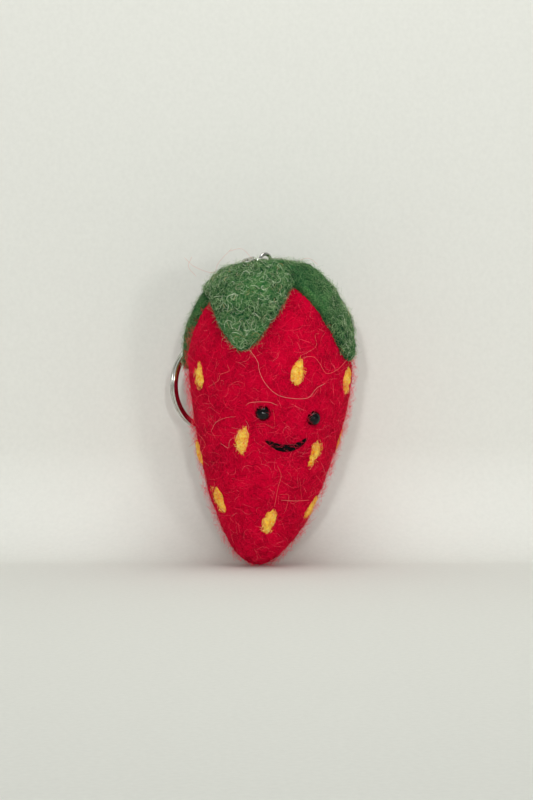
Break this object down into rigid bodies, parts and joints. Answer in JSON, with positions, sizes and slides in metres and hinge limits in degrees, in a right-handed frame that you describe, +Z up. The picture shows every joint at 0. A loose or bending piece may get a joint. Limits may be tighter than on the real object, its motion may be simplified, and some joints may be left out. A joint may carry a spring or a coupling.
{
  "type": "plush keychain",
  "caption": "Needle-felted wool strawberry keychain with a green felt calyx, bead eyes and a stitched smile, hung from a screw eye, a short link chain and a split ring.",
  "frame": {"origin": "lowest point of the body's tip, where it meets a surface when it stands with its crown up", "axes": "+Z up through the crown, -Y out of the face, +X to the right as the face is looked at"},
  "size_m": [0.0447, 0.048, 0.0819],
  "materials": {
    "white_wool": "felted wool",
    "red_wool": "needle-felted wool",
    "green_felt": "needle-felted wool",
    "yellow_wool": "needle-felted wool",
    "black_bead": "polished",
    "black_thread": "stranded cotton",
    "steel_wire": "nickel-plated, polished"
  },
  "bodies": {
    "strawberry": {"wool_core": "white_wool", "red_wool_skin": "red_wool", "felt_calyx": "green_felt", "seed_upper_1": "yellow_wool", "seed_upper_2": "yellow_wool", "seed_upper_3": "yellow_wool", "seed_upper_4": "yellow_wool", "seed_upper_5": "yellow_wool", "seed_upper_6": "yellow_wool", "seed_middle_1": "yellow_wool", "seed_middle_2": "yellow_wool", "seed_middle_3": "yellow_wool", "seed_middle_4": "yellow_wool", "seed_middle_5": "yellow_wool", "seed_middle_6": "yellow_wool", "seed_lower_1": "yellow_wool", "seed_lower_2": "yellow_wool", "seed_lower_3": "yellow_wool", "seed_lower_4": "yellow_wool", "seed_lower_5": "yellow_wool", "bead_eye_left": "black_bead", "bead_eye_right": "black_bead", "mouth_thread": "black_thread", "screw_eye": "steel_wire"},
    "eye_jump_ring": {"eye_jump_ring": "steel_wire"},
    "chain_link_1": {"chain_link_1": "steel_wire"},
    "chain_link_2": {"chain_link_2": "steel_wire"},
    "chain_link_3": {"chain_link_3": "steel_wire"},
    "chain_link_4": {"chain_link_4": "steel_wire"},
    "chain_link_5": {"chain_link_5": "steel_wire"},
    "chain_link_6": {"chain_link_6": "steel_wire"},
    "end_jump_ring": {"end_jump_ring": "steel_wire"},
    "split_ring": {"split_ring": "steel_wire"}
  },
  "joints": [
    {"name": "eye_jump_ring_hinge", "type": "hinge", "parent": "strawberry", "child": "eye_jump_ring", "pos_m": [0.0006, 0.0013, 0.07972], "axis": [-0.0471, 0.1294, 0.9905], "range_deg": [-15, 6]},
    {"name": "chain_link_1_hinge", "type": "hinge", "parent": "eye_jump_ring", "child": "chain_link_1", "pos_m": [-0.00041, 0.0041, 0.0793], "axis": [0.9397, 0.342, 0], "range_deg": [0, 110]},
    {"name": "chain_link_2_hinge", "type": "hinge", "parent": "chain_link_1", "child": "chain_link_2", "pos_m": [-0.00197, 0.00837, 0.07831], "axis": [0.1511, -0.4151, -0.8971], "range_deg": [-15, 20]},
    {"name": "chain_link_3_hinge", "type": "hinge", "parent": "chain_link_2", "child": "chain_link_3", "pos_m": [-0.00341, 0.01233, 0.07623], "axis": [-0.9397, -0.342, 0], "range_deg": [-100, 0]},
    {"name": "chain_link_4_hinge", "type": "hinge", "parent": "chain_link_3", "child": "chain_link_4", "pos_m": [-0.00459, 0.01556, 0.07304], "axis": [-0.2544, 0.699, 0.6684], "range_deg": [-40, 25]},
    {"name": "chain_link_5_hinge", "type": "hinge", "parent": "chain_link_4", "child": "chain_link_5", "pos_m": [-0.00566, 0.01852, 0.06954], "axis": [0.9397, 0.342, 0], "range_deg": [0, 110]},
    {"name": "chain_link_6_hinge", "type": "hinge", "parent": "chain_link_5", "child": "chain_link_6", "pos_m": [-0.0064, 0.02054, 0.06538], "axis": [0.3205, -0.8805, -0.3494], "range_deg": [-45, 50]},
    {"name": "end_jump_ring_hinge", "type": "hinge", "parent": "chain_link_6", "child": "end_jump_ring", "pos_m": [-0.00696, 0.02208, 0.06098], "axis": [-0.9397, -0.342, 0], "range_deg": [-90, 0]},
    {"name": "split_ring_hinge", "type": "hinge", "parent": "end_jump_ring", "child": "split_ring", "pos_m": [-0.00704, 0.02232, 0.0567], "axis": [-0.342, 0.9397, 0], "range_deg": [-45, 45]}
  ]
}
